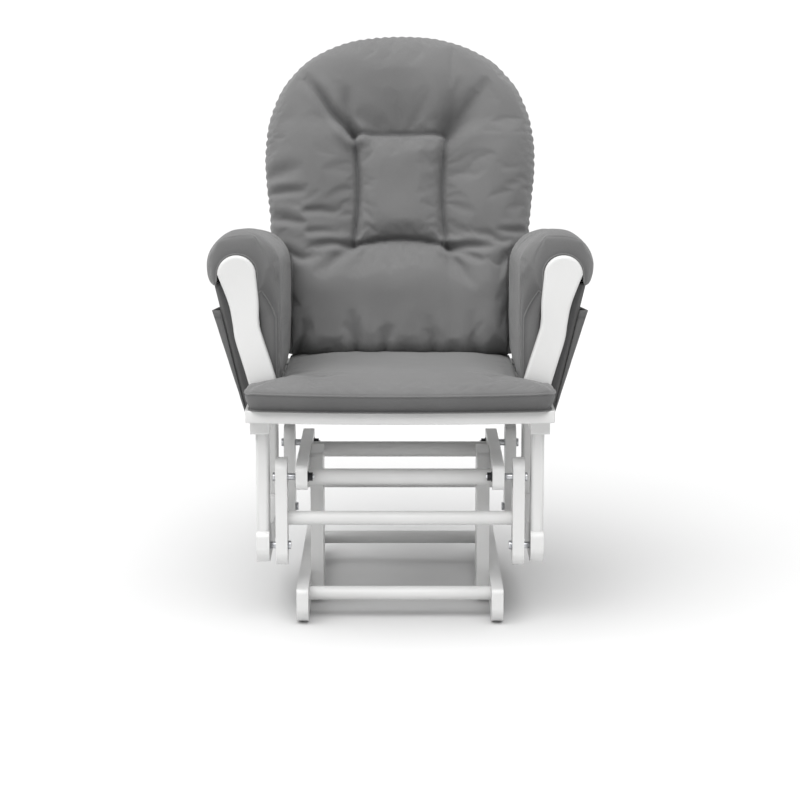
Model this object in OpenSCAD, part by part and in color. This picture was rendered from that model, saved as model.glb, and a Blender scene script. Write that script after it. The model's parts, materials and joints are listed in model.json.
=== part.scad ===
/* [Seat] */
// Width of the seat frame
seat_w = 520; // [516:1:524]
// Height of the top of the seat frame above the floor
seat_top = 386; // [384:1:390]
// Thickness of the seat frame boards
seat_board_t = 21; // [18:1:22]
// Depth of the seat frame, front edge to rear edge
seat_d = 530; // [526:1:534]
// Number of cross slats under the seat cushion
seat_slat_count = 5; // [3:1:5]

/* [Back] */
// Height of the top of the back hoop above the floor
hoop_top = 972; // [965:1:978]
// Width of the back hoop over its outer edges
hoop_w = 490; // [486:1:490]
// Width of the hoop's wood in the plane of the back
hoop_wood_w = 32; // [28:1:34]
// Thickness of the hoop's wood, front to rear
hoop_wood_t = 22; // [20:1:24]
// Lean of the back from upright, in degrees
back_lean = 16; // [15.5:0.5:17]
// Number of upright slats in the back
back_slat_count = 5; // [3:1:6]
// Width of one back slat
back_slat_w = 36; // [30:1:38]

/* [Arms] */
// Height of the top of the padded arms above the floor
arm_top = 681; // [680:1:684]
// Width of the chair over the padded arms
arm_span = 654; // [652:1:660]
// Clear width of the seat between the padded arms
arm_gap = 410; // [408:1:412]
// Thickness of the front arm supports
support_t = 20; // [16:1:20]
// Fall of the armrests towards the rear, in degrees
arm_fall = 6; // [5:0.5:6.5]

/* [Base] */
// Width of the base over its outer faces
base_w = 356; // [352:1:358]
// Thickness of the beams and the runners
base_board_t = 20; // [18:1:22]
// Thickness of the two uprights
upright_t = 22; // [18:1:24]
// Width of the two uprights, front to rear
upright_w = 86; // [70:1:100]
// Height of the top of the base beams above the floor
beam_top = 281; // [279:1:284]
// Diameter of the upper base stretchers
upper_dowel_d = 28; // [24:1:30]
// Diameter of the lower base stretchers
lower_dowel_d = 24; // [20:1:28]

/* [Glide] */
// Distance between the front and the rear pivots
pivot_gap = 280; // [278:1:284]
// Height of the upper pivots above the floor
upper_pivot_z = 257.5; // [257:0.5:260]
// Height of the lower pivots above the floor
lower_pivot_z = 136.5; // [136:0.5:137]
// Width of a swing arm, front to rear
swing_w = 50; // [44:1:54]
// Thickness of a swing arm
swing_t = 20; // [20:1:21]
// Diameter of the pivot bolts
bolt_d = 8; // [7.5:0.5:8]

/* [Cushions] */
// Thickness of the seat cushion
seat_cushion_t = 52; // [46:1:54]
// Fall of the seat cushion's top towards the rear, in degrees
seat_fall = 4; // [3.5:0.5:4.5]
// Thickness of the back cushion
back_cushion_t = 118; // [110:1:118]
// Height of the top of the back cushion above the floor
back_cushion_top = 990; // [985:1:992]
// Depth of the mouth of an arm pocket
pocket_mouth = 12.7; // [12:0.1:14]

/* [Hidden] */
$fn = 48;

// Colours
paint_white = "#f2f2f0";
steel = "#b9bcc0";
black_steel = "#26272a";
pad_grey = "#77787a";
cloth = "#7d7e80";

// Clearances: gap round a screw or a fixed ring, gap in a running fit, gap beside a soft piece
fit_gap = 0.1;
run_gap = 0.05;
soft_gap = 0.4;

// The middle of the four pivots is mid_y; the front of the chair faces -Y.
// The chair's own box is centred on the origin, so mid_y follows from its two ends.
cushion_front = 238;
back_foot = 280;
hoop_len = (hoop_top - seat_top) / cos(back_lean);
hoop_rear = back_foot + hoop_len * sin(back_lean) + hoop_wood_t * cos(back_lean);
mid_y = -(hoop_rear - cushion_front) / 2;
front_y = mid_y - pivot_gap / 2;
rear_y = mid_y + pivot_gap / 2;

// Base, from the middle outwards
base_out = base_w / 2;
base_in = base_out - base_board_t;
pad_t = 3;
pad_d = 18;
pad_from_end = 45;
runner_h = 62;
runner_front = mid_y - 172;
runner_rear = mid_y + 320;
runner_foot = 74;
runner_arch = 16;
runner_toe_r = 28;
runner_top_r = 8;
beam_h = 44;
beam_len = 330;
beam_end_r = 14;
upright_low = 14;
upright_corner_r = 8;
upright_high = beam_top - 4;
upper_front_dowel_y = front_y + 28;
upper_rear_dowel_y = rear_y - 28;
upper_dowel_z = beam_top - 30;
lower_dowel_z = 45;
lower_front_dowel_y = mid_y - 120;
lower_rear_dowel_y = mid_y + 265;
screw_d = 5;
screw_head_d = 10;
screw_head_t = 3;

// Swing arms and pivots, from the middle outwards
swing_in = base_out + 15;
swing_out = swing_in + swing_t;
swing_reach = 34;
swing_dowel_z = upper_pivot_z - 73;
swing_dowel_d = 24;
tenon_d = 16;
tenon_len = 12;
ring_out_d = 22;
ring_mid_d = 18;
ring_in_d = 12;
ring_w = 7;
shield_t = 0.6;
ball_d = 2.9;
ball_circle_r = 7.5;
ball_count = 9;
collar_t = 1;
bolt_head_d = 15;
bolt_head_t = 4;
washer_d = 18;
washer_t = 1.5;
nut_d = 15;
nut_t = 7;
bolt_tail = 2.5;
insert_len = 16;

// Seat undercarriage
rail_in = swing_out + 11;
rail_t = 22;
rail_out = rail_in + rail_t;
knuckle_r = 28.5;
knuckle_top_r = 10;
bottom_rail_low = lower_pivot_z - knuckle_r;
bottom_rail_top = lower_pivot_z + knuckle_r;
bottom_rail_arch = 12;
bottom_rail_flat = 45;
post_d = 42;
post_corner_r = 6;
post_screw_bite = 38;
post_low_screw_shift = 12;
post_from_pivot = 18;
side_rail_in = rail_in - 2;
side_rail_out = rail_out + 8;
side_rail_h = 28;
side_rail_corner_r = 5;
seat_low = seat_top - seat_board_t;
side_rail_low = seat_low - side_rail_h;
side_rail_front = mid_y - 172;
side_rail_rear = mid_y + 300;
post_high = side_rail_low;

// Seat frame
seat_front = mid_y - 225;
seat_rear = seat_front + seat_d;
seat_corner_r = 24;
seat_bow = 16;
front_rail_d = 95;
rear_rail_d = 60;
side_board_w = 60;
slat_t = 12;
slat_w = 48;
slat_ledge = 15;

// Back, in its own leaning frame: across, rearward and up the back
hoop_r = hoop_w / 2;
hoop_in_r = hoop_r - hoop_wood_w;
hoop_mid = hoop_len - hoop_r;
back_slat_t = 10;
back_rail_low = 28;
back_rail_h = 50;
back_rail_t = 18;
back_slat_spread = 1.02;
back_rail_screw_reach = 30;

// Arms: the S-shaped front support as [height above the seat, middle, width]
support_line = [
    [0, 221.5, 48], [64, 239.5, 48.5], [112, 254, 47.5],
    [140, 259.5, 44.5], [175, 263, 51], [223, 274, 65]
];
support_front = mid_y - 165;
support_round = 5;
support_steps = 5;
support_head = support_line[len(support_line) - 1];
armrest_t = 18;
armrest_corner_r = 9;
armrest_front = support_front + 10;
armrest_screw_reach = 30;
armrest_w = 54;
armrest_low = seat_top + support_head[0] + support_head[2] / 2;
armrest_turn_y = support_front + support_t - support_round;
armrest_in = hoop_r;
armrest_rear = mid_y + 378;
arm_out = arm_span / 2;
arm_in = arm_gap / 2;
arm_front = mid_y - 158;
arm_rear = mid_y + 232;
arm_leg_front = mid_y - 140;
arm_roll_rear = arm_rear - 4;
arm_leg_low = 425;
arm_outer_low = 590;
pocket_low = 371;
pocket_high = 547;
pocket_cloth = 2.5;
pocket_foot = seat_w / 2 + soft_gap;
pocket_lean = 0.2315;
pocket_front = mid_y - 150;
pocket_len = 375;
gusset_low = 401;

// A rectangle from the origin with four round corners
module rounded_panel(w, h, r) {
    translate([r, 0]) square([w - 2 * r, h]);
    translate([0, r]) square([w, h - 2 * r]);
    for (x = [r, w - r], y = [r, h - r]) {
        translate([x, y]) circle(r);
    }
}

// Extrudes a (front-rear, height) outline sideways from x0
module side_shape(x0, t) {
    translate([x0, 0, 0]) rotate([90, 0, 90]) linear_extrude(t) children();
}

// Extrudes an (across, height) outline rearwards from y0
module front_shape(y0, t) {
    translate([0, y0 + t, 0]) rotate([90, 0, 0]) linear_extrude(t) children();
}

// Turns an arm's parts to the fall of the armrest, about the rear edge of the support's head
module on_arm() {
    translate([0, armrest_turn_y, armrest_low]) rotate([-arm_fall, 0, 0])
        translate([0, -armrest_turn_y, -armrest_low]) children();
}

// Keeps what lies below a line that falls with the armrest and has this height at the support
module below_arm_line(z) {
    intersection() {
        children();
        on_arm() block([0, arm_front - seat_w, 0], [seat_w, arm_rear + seat_w, z]);
    }
}

// Everything below the seat cushion's top, which falls towards the rear, raised by a gap
module below_seat_line(gap) {
    translate([0, support_front, seat_top + seat_cushion_t + soft_gap + gap])
        rotate([-seat_fall, 0, 0]) block([-seat_w, -seat_w, -seat_top], [seat_w, seat_w, 0]);
}

// A round bar along X from x0 to x1
module bar_x(x0, x1, y, z, d) {
    translate([x0, y, z]) rotate([0, 90, 0]) cylinder(h = x1 - x0, d = d);
}

// A round bar along Z from z0 to z1
module bar_z(x, y, z0, z1, d) {
    translate([x, y, z0]) cylinder(h = z1 - z0, d = d);
}

// A box between two corners
module block(low, high) {
    translate(low) cube(high - low);
}

module left() {
    mirror([1, 0, 0]) children();
}

module both_sides() {
    children();
    left() children();
}

// ---- Base ----

module runner_outline() {
    len = runner_rear - runner_front;
    chord = len - 2 * runner_foot;
    arch_r = (chord * chord / 4 + runner_arch * runner_arch) / (2 * runner_arch);
    toe = runner_toe_r;
    top_r = runner_top_r;
    difference() {
        translate([runner_front, pad_t]) union() {
            translate([toe, 0]) square([len - 2 * toe, runner_h]);
            translate([0, toe]) square([len, runner_h - toe - top_r]);
            translate([top_r, toe]) square([len - 2 * top_r, runner_h - toe]);
            for (y = [toe, len - toe]) translate([y, toe]) circle(toe);
            for (y = [top_r, len - top_r]) translate([y, runner_h - top_r]) circle(top_r);
        }
        translate([(runner_front + runner_rear) / 2, pad_t + runner_arch - arch_r])
            circle(arch_r, $fn = 400);
    }
}

// Screws of one base side
upright_screw_y = upright_w / 4;
upright_screw_z = [lower_dowel_z - 6, beam_top - beam_h / 2];
stretcher_screw_len = 45;

module upright_screw_bores(d) {
    for (y = [-upright_screw_y, upright_screw_y], z = upright_screw_z) {
        bar_x(base_in - upright_t - 1, base_out - 6, mid_y + y, z, d);
    }
}

module runner() {
    color(paint_white) difference() {
        side_shape(base_in, base_board_t) runner_outline();
        upright_screw_bores(screw_d + 2 * fit_gap);
        for (y = [lower_front_dowel_y, lower_rear_dowel_y]) {
            bar_x(base_in - 1, base_out + 1, y, lower_dowel_z, screw_d + 2 * fit_gap);
            bar_x(base_out - screw_head_t, base_out + 1, y, lower_dowel_z, screw_head_d + 2 * fit_gap);
        }
    }
}

module upright() {
    color(paint_white) difference() {
        side_shape(base_in - upright_t, upright_t)
            translate([mid_y - upright_w / 2, upright_low])
            rounded_panel(upright_w, upright_high - upright_low, upright_corner_r);
        upright_screw_bores(screw_d + 2 * fit_gap);
        for (y = [-upright_screw_y, upright_screw_y], z = upright_screw_z) {
            x = base_in - upright_t;
            bar_x(x - 1, x + screw_head_t, mid_y + y, z, screw_head_d + 2 * fit_gap);
        }
    }
}

module beam() {
    color(paint_white) difference() {
        side_shape(base_in, base_board_t)
            translate([mid_y - beam_len / 2, beam_top - beam_h])
            rounded_panel(beam_len, beam_h, beam_end_r);
        upright_screw_bores(screw_d + 2 * fit_gap);
        for (y = [front_y, rear_y]) {
            bar_x(base_in - 1, base_out + 1, y, upper_pivot_z, bolt_d + 2 * fit_gap);
        }
        for (y = [upper_front_dowel_y, upper_rear_dowel_y]) {
            bar_x(base_in - 1, base_out + 1, y, upper_dowel_z, screw_d + 2 * fit_gap);
            bar_x(base_out - screw_head_t, base_out + 1, y, upper_dowel_z, screw_head_d + 2 * fit_gap);
        }
    }
}

// A stretcher between the base sides, bored at both ends for its screws
module stretcher(y, z, d) {
    color(paint_white) difference() {
        bar_x(-base_in, base_in, y, z, d);
        both_sides() bar_x(base_out - stretcher_screw_len - 1, base_in + 1, y, z, screw_d + 2 * fit_gap);
    }
}

module upper_stretcher(y) {
    stretcher(y, upper_dowel_z, upper_dowel_d);
}

module lower_stretcher(y) {
    stretcher(y, lower_dowel_z, lower_dowel_d);
}

module floor_pads() {
    color(pad_grey) both_sides() for (y = [runner_front + pad_from_end, runner_rear - pad_from_end]) {
        bar_z(base_out - base_board_t / 2, y, 0, pad_t, pad_d);
    }
}

module base_screws() {
    color(steel) both_sides() {
        for (y = [-upright_screw_y, upright_screw_y], z = upright_screw_z) {
            x = base_in - upright_t;
            bar_x(x, x + screw_head_t, mid_y + y, z, screw_head_d);
            bar_x(x + screw_head_t, base_out - 8, mid_y + y, z, screw_d);
        }
        for (p = [
            [upper_front_dowel_y, upper_dowel_z], [upper_rear_dowel_y, upper_dowel_z],
            [lower_front_dowel_y, lower_dowel_z], [lower_rear_dowel_y, lower_dowel_z]
        ]) {
            bar_x(base_out - screw_head_t, base_out, p[0], p[1], screw_head_d);
            bar_x(base_out - stretcher_screw_len, base_out - screw_head_t, p[0], p[1], screw_d);
        }
    }
}

// ---- Pivots ----

module at_pivots() {
    both_sides() for (y = [front_y, rear_y]) translate([0, y, 0]) children();
}

module upper_pivot_bolts() {
    color(steel) at_pivots() {
        bar_x(base_in - washer_t - nut_t - bolt_tail, swing_out, 0, upper_pivot_z, bolt_d);
        bar_x(swing_out, swing_out + collar_t, 0, upper_pivot_z, ring_in_d);
        bar_x(swing_out + collar_t, swing_out + collar_t + bolt_head_t, 0, upper_pivot_z, bolt_head_d);
    }
}

module upper_pivot_nuts() {
    color(black_steel) at_pivots() difference() {
        union() {
            bar_x(base_in - washer_t, base_in, 0, upper_pivot_z, washer_d);
            translate([base_in - washer_t - nut_t, 0, upper_pivot_z])
                rotate([0, 90, 0]) cylinder(h = nut_t, d = nut_d, $fn = 6);
        }
        bar_x(base_in - washer_t - nut_t - 1, base_in + 1, 0, upper_pivot_z, bolt_d + 2 * fit_gap);
    }
}

// A sleeve or ring on a pivot bolt
module bolt_ring(x0, x1, z) {
    difference() {
        bar_x(x0, x1, 0, z, ring_in_d);
        bar_x(x0 - 1, x1 + 1, 0, z, bolt_d + 2 * fit_gap);
    }
}

module upper_pivot_sleeves() {
    color(steel) at_pivots() bolt_ring(base_out, swing_out - ring_w, upper_pivot_z);
}

module upper_inner_rings() {
    color(steel) at_pivots() bolt_ring(swing_out - ring_w, swing_out, upper_pivot_z);
}

module lower_pivot_bolts() {
    color(steel) at_pivots() {
        bar_x(swing_in, rail_in + insert_len - 2, 0, lower_pivot_z, bolt_d);
        bar_x(swing_in - collar_t, swing_in, 0, lower_pivot_z, ring_in_d);
        bar_x(swing_in - collar_t - bolt_head_t, swing_in - collar_t, 0, lower_pivot_z, bolt_head_d);
    }
}

module lower_inner_rings() {
    color(steel) at_pivots() bolt_ring(swing_in, swing_in + ring_w, lower_pivot_z);
}

module lower_pivot_sleeves() {
    color(steel) at_pivots() bolt_ring(swing_in + ring_w, rail_in, lower_pivot_z);
}

module lower_pivot_inserts() {
    color(steel) at_pivots() bolt_ring(rail_in, rail_in + insert_len, lower_pivot_z);
}

// ---- Swing arms ----

module swing_arm(y) {
    high = upper_pivot_z + swing_reach;
    low = lower_pivot_z - swing_reach;
    through_d = ring_in_d + 2 * run_gap;
    seat_bore = ring_out_d + 2 * fit_gap;
    color(paint_white) difference() {
        side_shape(swing_in, swing_t) union() {
            translate([y - swing_w / 2, low + swing_w / 2]) square([swing_w, high - low - swing_w]);
            for (z = [low + swing_w / 2, high - swing_w / 2]) translate([y, z]) circle(swing_w / 2);
        }
        bar_x(swing_in - 1, swing_out + 1, y, upper_pivot_z, through_d);
        bar_x(swing_out - ring_w, swing_out + 1, y, upper_pivot_z, seat_bore);
        bar_x(swing_in - 1, swing_out + 1, y, lower_pivot_z, through_d);
        bar_x(swing_in - 1, swing_in + ring_w, y, lower_pivot_z, seat_bore);
        bar_x(swing_in - 1, swing_in + tenon_len, y, swing_dowel_z, tenon_d + 2 * fit_gap);
    }
}

module swing_dowel(y) {
    tenon_end = swing_in + tenon_len;
    color(paint_white) {
        bar_x(-swing_in, swing_in, y, swing_dowel_z, swing_dowel_d);
        bar_x(-tenon_end, tenon_end, y, swing_dowel_z, tenon_d);
    }
}

// The outer ring of one bearing, its shield at the open face, and its balls
module bearing(x0, shield_x, y, z) {
    difference() {
        bar_x(x0, x0 + ring_w, y, z, ring_out_d);
        bar_x(x0 - 1, x0 + ring_w + 1, y, z, ring_mid_d);
    }
    difference() {
        bar_x(shield_x, shield_x + shield_t, y, z, ring_mid_d + 1);
        bar_x(shield_x - 1, shield_x + shield_t + 1, y, z, ring_in_d + 0.6);
    }
    for (k = [0 : ball_count - 1]) {
        a = k * 360 / ball_count;
        translate([x0 + ring_w / 2, y + ball_circle_r * cos(a), z + ball_circle_r * sin(a)])
            sphere(d = ball_d, $fn = 16);
    }
}

module bearings(y) {
    color(steel) both_sides() {
        bearing(swing_out - ring_w, swing_out - shield_t, y, upper_pivot_z);
        bearing(swing_in, swing_in, y, lower_pivot_z);
    }
}

// ---- Seat undercarriage ----

module bottom_rail_outline() {
    len = pivot_gap + 2 * knuckle_r;
    r = knuckle_top_r;
    chord = pivot_gap - 2 * bottom_rail_flat;
    arch_r = (chord * chord / 4 + bottom_rail_arch * bottom_rail_arch) / (2 * bottom_rail_arch);
    difference() {
        translate([front_y - knuckle_r, bottom_rail_low]) union() {
            translate([knuckle_r, 0]) square([pivot_gap, 2 * knuckle_r]);
            translate([0, knuckle_r]) square([len, knuckle_r - r]);
            translate([r, knuckle_r]) square([len - 2 * r, knuckle_r]);
            for (y = [knuckle_r, len - knuckle_r]) translate([y, knuckle_r]) circle(knuckle_r);
            for (y = [r, len - r]) translate([y, 2 * knuckle_r - r]) circle(r);
        }
        translate([mid_y, bottom_rail_top - bottom_rail_arch + arch_r]) circle(arch_r, $fn = 200);
    }
}

// The middle of a front or rear post, front to rear
function post_mid(side) = mid_y + side * (pivot_gap / 2 + post_from_pivot - post_d / 2);
// The lower screw of a post stands clear of the pivot insert
function post_low_screw_y(side) = post_mid(side) - side * post_low_screw_shift;
post_screw_x = (rail_in + rail_out) / 2;
post_screw_up = bottom_rail_top + post_screw_bite;
post_screw_down = post_high - post_screw_bite;

module post_screw_bores() {
    d = screw_d + 2 * fit_gap;
    for (side = [-1, 1]) {
        bar_z(post_screw_x, post_low_screw_y(side), bottom_rail_low - 1, post_screw_up + 2, d);
        bar_z(post_screw_x, post_mid(side), post_screw_down - 2, seat_low + 1, d);
    }
}

module bottom_rail() {
    color(paint_white) difference() {
        side_shape(rail_in, rail_t) bottom_rail_outline();
        for (y = [front_y, rear_y]) {
            bar_x(rail_in - 1, rail_in + insert_len, y, lower_pivot_z, ring_in_d + 2 * fit_gap);
        }
        post_screw_bores();
        for (side = [-1, 1]) {
            head_top = bottom_rail_low + screw_head_t;
            y = post_low_screw_y(side);
            bar_z(post_screw_x, y, bottom_rail_low - 1, head_top, screw_head_d + 2 * fit_gap);
        }
    }
}

module post(side) {
    y0 = post_mid(side) - post_d / 2;
    color(paint_white) difference() {
        translate([rail_in, y0, bottom_rail_top])
            linear_extrude(post_high - bottom_rail_top) rounded_panel(rail_t, post_d, post_corner_r);
        post_screw_bores();
    }
}

// Screws that pass up through a side rail: [across, front-rear, top]
side_screw_x = 236;
frame_screw_x = side_screw_x - 4;
frame_screw_top = seat_top + 30;
board_screw_top = seat_top - 3;
board_screw_y = [mid_y - 30, mid_y + 90, mid_y + 200];
support_screw_y = support_front + support_t / 2;
hoop_screw_y = mid_y + back_foot + 16;
side_screws = [
    for (y = board_screw_y) [side_screw_x, y, board_screw_top],
    for (y = [support_screw_y, hoop_screw_y]) [frame_screw_x, y, frame_screw_top]
];

module side_screw_bores() {
    for (s = side_screws) bar_z(s[0], s[1], side_rail_low - 1, s[2] + 1, screw_d + 2 * fit_gap);
}

module side_rail() {
    len = side_rail_rear - side_rail_front;
    color(paint_white) difference() {
        side_shape(side_rail_in, side_rail_out - side_rail_in)
            translate([side_rail_front, side_rail_low]) rounded_panel(len, side_rail_h, side_rail_corner_r);
        side_screw_bores();
        for (s = side_screws) {
            bar_z(s[0], s[1], side_rail_low - 1, side_rail_low + screw_head_t, screw_head_d + 2 * fit_gap);
        }
        post_screw_bores();
        for (side = [-1, 1]) {
            head_low = seat_low - screw_head_t;
            bar_z(post_screw_x, post_mid(side), head_low, seat_low + 1, screw_head_d + 2 * fit_gap);
        }
    }
}

// ---- Seat frame ----

module seat_front_rail() {
    bow_r = (seat_w * seat_w / 4 + seat_bow * seat_bow) / (2 * seat_bow);
    r = seat_corner_r;
    color(paint_white) difference() {
        translate([0, 0, seat_low]) linear_extrude(seat_board_t) intersection() {
            translate([-seat_w / 2, seat_front]) rounded_panel(seat_w, front_rail_d + 2 * r, r);
            translate([-seat_w / 2, seat_front]) square([seat_w, front_rail_d]);
            translate([0, seat_front + bow_r]) circle(bow_r, $fn = 200);
        }
        both_sides() side_screw_bores();
    }
}

module seat_side_board() {
    y0 = seat_front + front_rail_d;
    color(paint_white) difference() {
        block([seat_w / 2 - side_board_w, y0, seat_low], [seat_w / 2, seat_rear, seat_top]);
        block(
            [seat_w / 2 - side_board_w - 1, y0 - 1, seat_top - slat_t],
            [seat_w / 2 - side_board_w + slat_ledge, seat_rear - rear_rail_d, seat_top + 1]
        );
        side_screw_bores();
    }
}

module seat_rear_rail() {
    half = seat_w / 2 - side_board_w;
    color(paint_white) block([-half, seat_rear - rear_rail_d, seat_low], [half, seat_rear, seat_top]);
}

slat_half = seat_w / 2 - side_board_w + slat_ledge - fit_gap;
slat_space = seat_d - front_rail_d - rear_rail_d;
slat_pitch = slat_space / seat_slat_count;

function slat_y(k) = seat_front + front_rail_d + (k + 0.5) * slat_pitch;

module seat_slats() {
    low = seat_top - slat_t;
    color(paint_white) for (k = [0 : seat_slat_count - 1]) {
        block([-slat_half, slat_y(k) - slat_w / 2, low], [slat_half, slat_y(k) + slat_w / 2, seat_top]);
    }
}

module seat_screws() {
    color(steel) both_sides() {
        for (s = side_screws) {
            bar_z(s[0], s[1], side_rail_low, side_rail_low + screw_head_t, screw_head_d);
            bar_z(s[0], s[1], side_rail_low + screw_head_t, s[2], screw_d);
        }
        for (side = [-1, 1]) {
            y = post_low_screw_y(side);
            bar_z(post_screw_x, y, bottom_rail_low, bottom_rail_low + screw_head_t, screw_head_d);
            bar_z(post_screw_x, y, bottom_rail_low + screw_head_t, post_screw_up, screw_d);
            bar_z(post_screw_x, post_mid(side), post_screw_down, seat_low - screw_head_t, screw_d);
            bar_z(post_screw_x, post_mid(side), seat_low - screw_head_t, seat_low, screw_head_d);
        }
    }
}

// ---- Back ----

// Places the back's own frame on the seat, leaning to the rear
module leaning() {
    translate([0, mid_y + back_foot, seat_top]) rotate([-back_lean, 0, 0]) children();
}

// A flat shape in the plane of the back, from depth y0 rearwards
module back_shape(y0, t) {
    leaning() front_shape(y0, t) children();
}

// The area inside an arch of radius r that stands on straight legs
module arch_area(r, low) {
    translate([0, hoop_mid]) circle(r, $fn = 96);
    translate([-r, low]) square([2 * r, hoop_mid - low]);
}

module below_seat_top() {
    block([-seat_w, mid_y, 0], [seat_w, mid_y + 2 * back_foot, seat_top]);
}

// Screws through the hoop's legs, at the middle of the wood's thickness
half_t = hoop_wood_t / 2;
back_rail_mid = back_rail_low + back_rail_h / 2;
hoop_mid_y = mid_y + back_foot + half_t - seat_top * tan(back_lean);
armrest_mid = armrest_low + armrest_t / 2 / cos(arm_fall) + armrest_turn_y * tan(arm_fall);
arm_screw_z = (armrest_mid - hoop_mid_y * tan(arm_fall)) / (1 + tan(back_lean) * tan(arm_fall));
arm_screw_y = hoop_mid_y + arm_screw_z * tan(back_lean);
rail_screw_y = mid_y + back_foot + back_rail_mid * sin(back_lean) + half_t * cos(back_lean);
rail_screw_z = seat_top + back_rail_mid * cos(back_lean) - half_t * sin(back_lean);

module back_hoop() {
    bore_d = screw_d + 2 * fit_gap;
    head_d = screw_head_d + 2 * fit_gap;
    color(paint_white) difference() {
        back_shape(0, hoop_wood_t) difference() {
            arch_area(hoop_r, -20);
            arch_area(hoop_in_r, -21);
        }
        below_seat_top();
        both_sides() {
            side_screw_bores();
            bar_x(hoop_in_r - 1, hoop_r + 1, arm_screw_y, arm_screw_z, bore_d);
            bar_x(hoop_in_r - 1, hoop_in_r + screw_head_t, arm_screw_y, arm_screw_z, head_d);
            bar_x(hoop_in_r - 1, hoop_r + 1, rail_screw_y, rail_screw_z, bore_d);
            bar_x(hoop_r - screw_head_t, hoop_r + 1, rail_screw_y, rail_screw_z, head_d);
        }
    }
}

module back_slats() {
    pitch = 2 * hoop_in_r / (back_slat_count + 1) * back_slat_spread;
    low = back_rail_low + back_rail_h;
    color(paint_white) back_shape((hoop_wood_t - back_slat_t) / 2, back_slat_t) intersection() {
        arch_area(hoop_in_r, low);
        for (k = [0 : back_slat_count - 1]) {
            x = (k - (back_slat_count - 1) / 2) * pitch;
            translate([x - back_slat_w / 2, low]) square([back_slat_w, hoop_len]);
        }
    }
}

module back_bottom_rail() {
    color(paint_white) difference() {
        back_shape((hoop_wood_t - back_rail_t) / 2, back_rail_t)
            translate([-hoop_in_r, back_rail_low]) square([2 * hoop_in_r, back_rail_h]);
        both_sides() bar_x(
            hoop_in_r - back_rail_screw_reach - 2, hoop_in_r + 1,
            rail_screw_y, rail_screw_z, screw_d + 2 * fit_gap
        );
    }
}

module back_screws() {
    color(steel) both_sides() {
        bar_x(hoop_r - screw_head_t, hoop_r, rail_screw_y, rail_screw_z, screw_head_d);
        bar_x(hoop_in_r - back_rail_screw_reach, hoop_r - screw_head_t, rail_screw_y, rail_screw_z, screw_d);
    }
}

// ---- Arms ----

// One value of a smooth curve through four even knots, t from 0 to 1 between b and c
function curve(a, b, c, d, t) =
    b + t * (c - a) / 2 + t * t * (a - 2.5 * b + 2 * c - d / 2) + t * t * t * (1.5 * (b - c) + (d - a) / 2);

// Knot k of the support's line, carried straight on past both ends
function knot(k) =
    k < 0 ? 2 * support_line[0] - support_line[1] :
    k >= len(support_line) ? 2 * support_head - support_line[len(support_line) - 2] :
    support_line[k];

function support_at(k, t) = curve(knot(k - 1), knot(k), knot(k + 1), knot(k + 2), t);

// The support's stations from foot to head
support_stations = [
    for (k = [0 : len(support_line) - 2], s = [0 : support_steps - 1]) support_at(k, s / support_steps)
];

// The support's outline drawn in by a given amount all round
function support_outline(inset) = concat(
    [for (p = support_stations) [p[1] + p[2] / 2 - inset, p[0]]],
    [for (a = [0 : 12 : 180]) [
        support_head[1] + (support_head[2] / 2 - inset) * cos(a),
        support_head[0] + (support_head[2] / 2 - inset) * sin(a)
    ]],
    [for (k = [len(support_stations) - 1 : -1 : 0])
        let (p = support_stations[k]) [p[1] - p[2] / 2 + inset, p[0]]]
);

module front_arm_support() {
    quarter = [0 : 30 : 90];
    rings = concat(
        [for (a = quarter) [support_round * (1 - cos(a)), support_round * (1 - sin(a))]],
        [for (a = quarter) [support_t - support_round * (1 - sin(a)), support_round * (1 - cos(a))]]
    );
    n = len(support_outline(0));
    points = [
        for (r = rings, p = support_outline(r[1])) [p[0], support_front + r[0], seat_top + p[1]]
    ];
    last = len(rings) - 1;
    sides = [
        for (i = [0 : last - 1], j = [0 : n - 1])
            [i * n + j, i * n + (j + 1) % n, (i + 1) * n + (j + 1) % n, (i + 1) * n + j]
    ];
    front_cap = [for (j = [0 : n / 2 - 2]) [j, n - 1 - j, n - 2 - j, j + 1]];
    rear_cap = [
        for (j = [0 : n / 2 - 2])
            [last * n + j, last * n + j + 1, last * n + n - 2 - j, last * n + n - 1 - j]
    ];
    color(paint_white) difference() {
        polyhedron(points, concat(sides, front_cap, rear_cap), convexity = 6);
        bar_z(frame_screw_x, support_screw_y, seat_top - 1, frame_screw_top + 2, screw_d + 2 * fit_gap);
    }
}

module armrest_board() {
    len = armrest_rear - armrest_front;
    color(paint_white) difference() {
        on_arm() translate([armrest_in, armrest_front, armrest_low])
            linear_extrude(armrest_t) rounded_panel(armrest_w, len, armrest_corner_r);
        bar_x(
            armrest_in - 1, armrest_in + armrest_screw_reach + 2,
            arm_screw_y, arm_screw_z, screw_d + 2 * fit_gap
        );
    }
}

module arm_screws() {
    color(steel) both_sides() {
        bar_x(hoop_in_r, hoop_in_r + screw_head_t, arm_screw_y, arm_screw_z, screw_head_d);
        bar_x(hoop_in_r + screw_head_t, armrest_in + armrest_screw_reach, arm_screw_y, arm_screw_z, screw_d);
    }
}

// ---- Cushions ----

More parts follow.
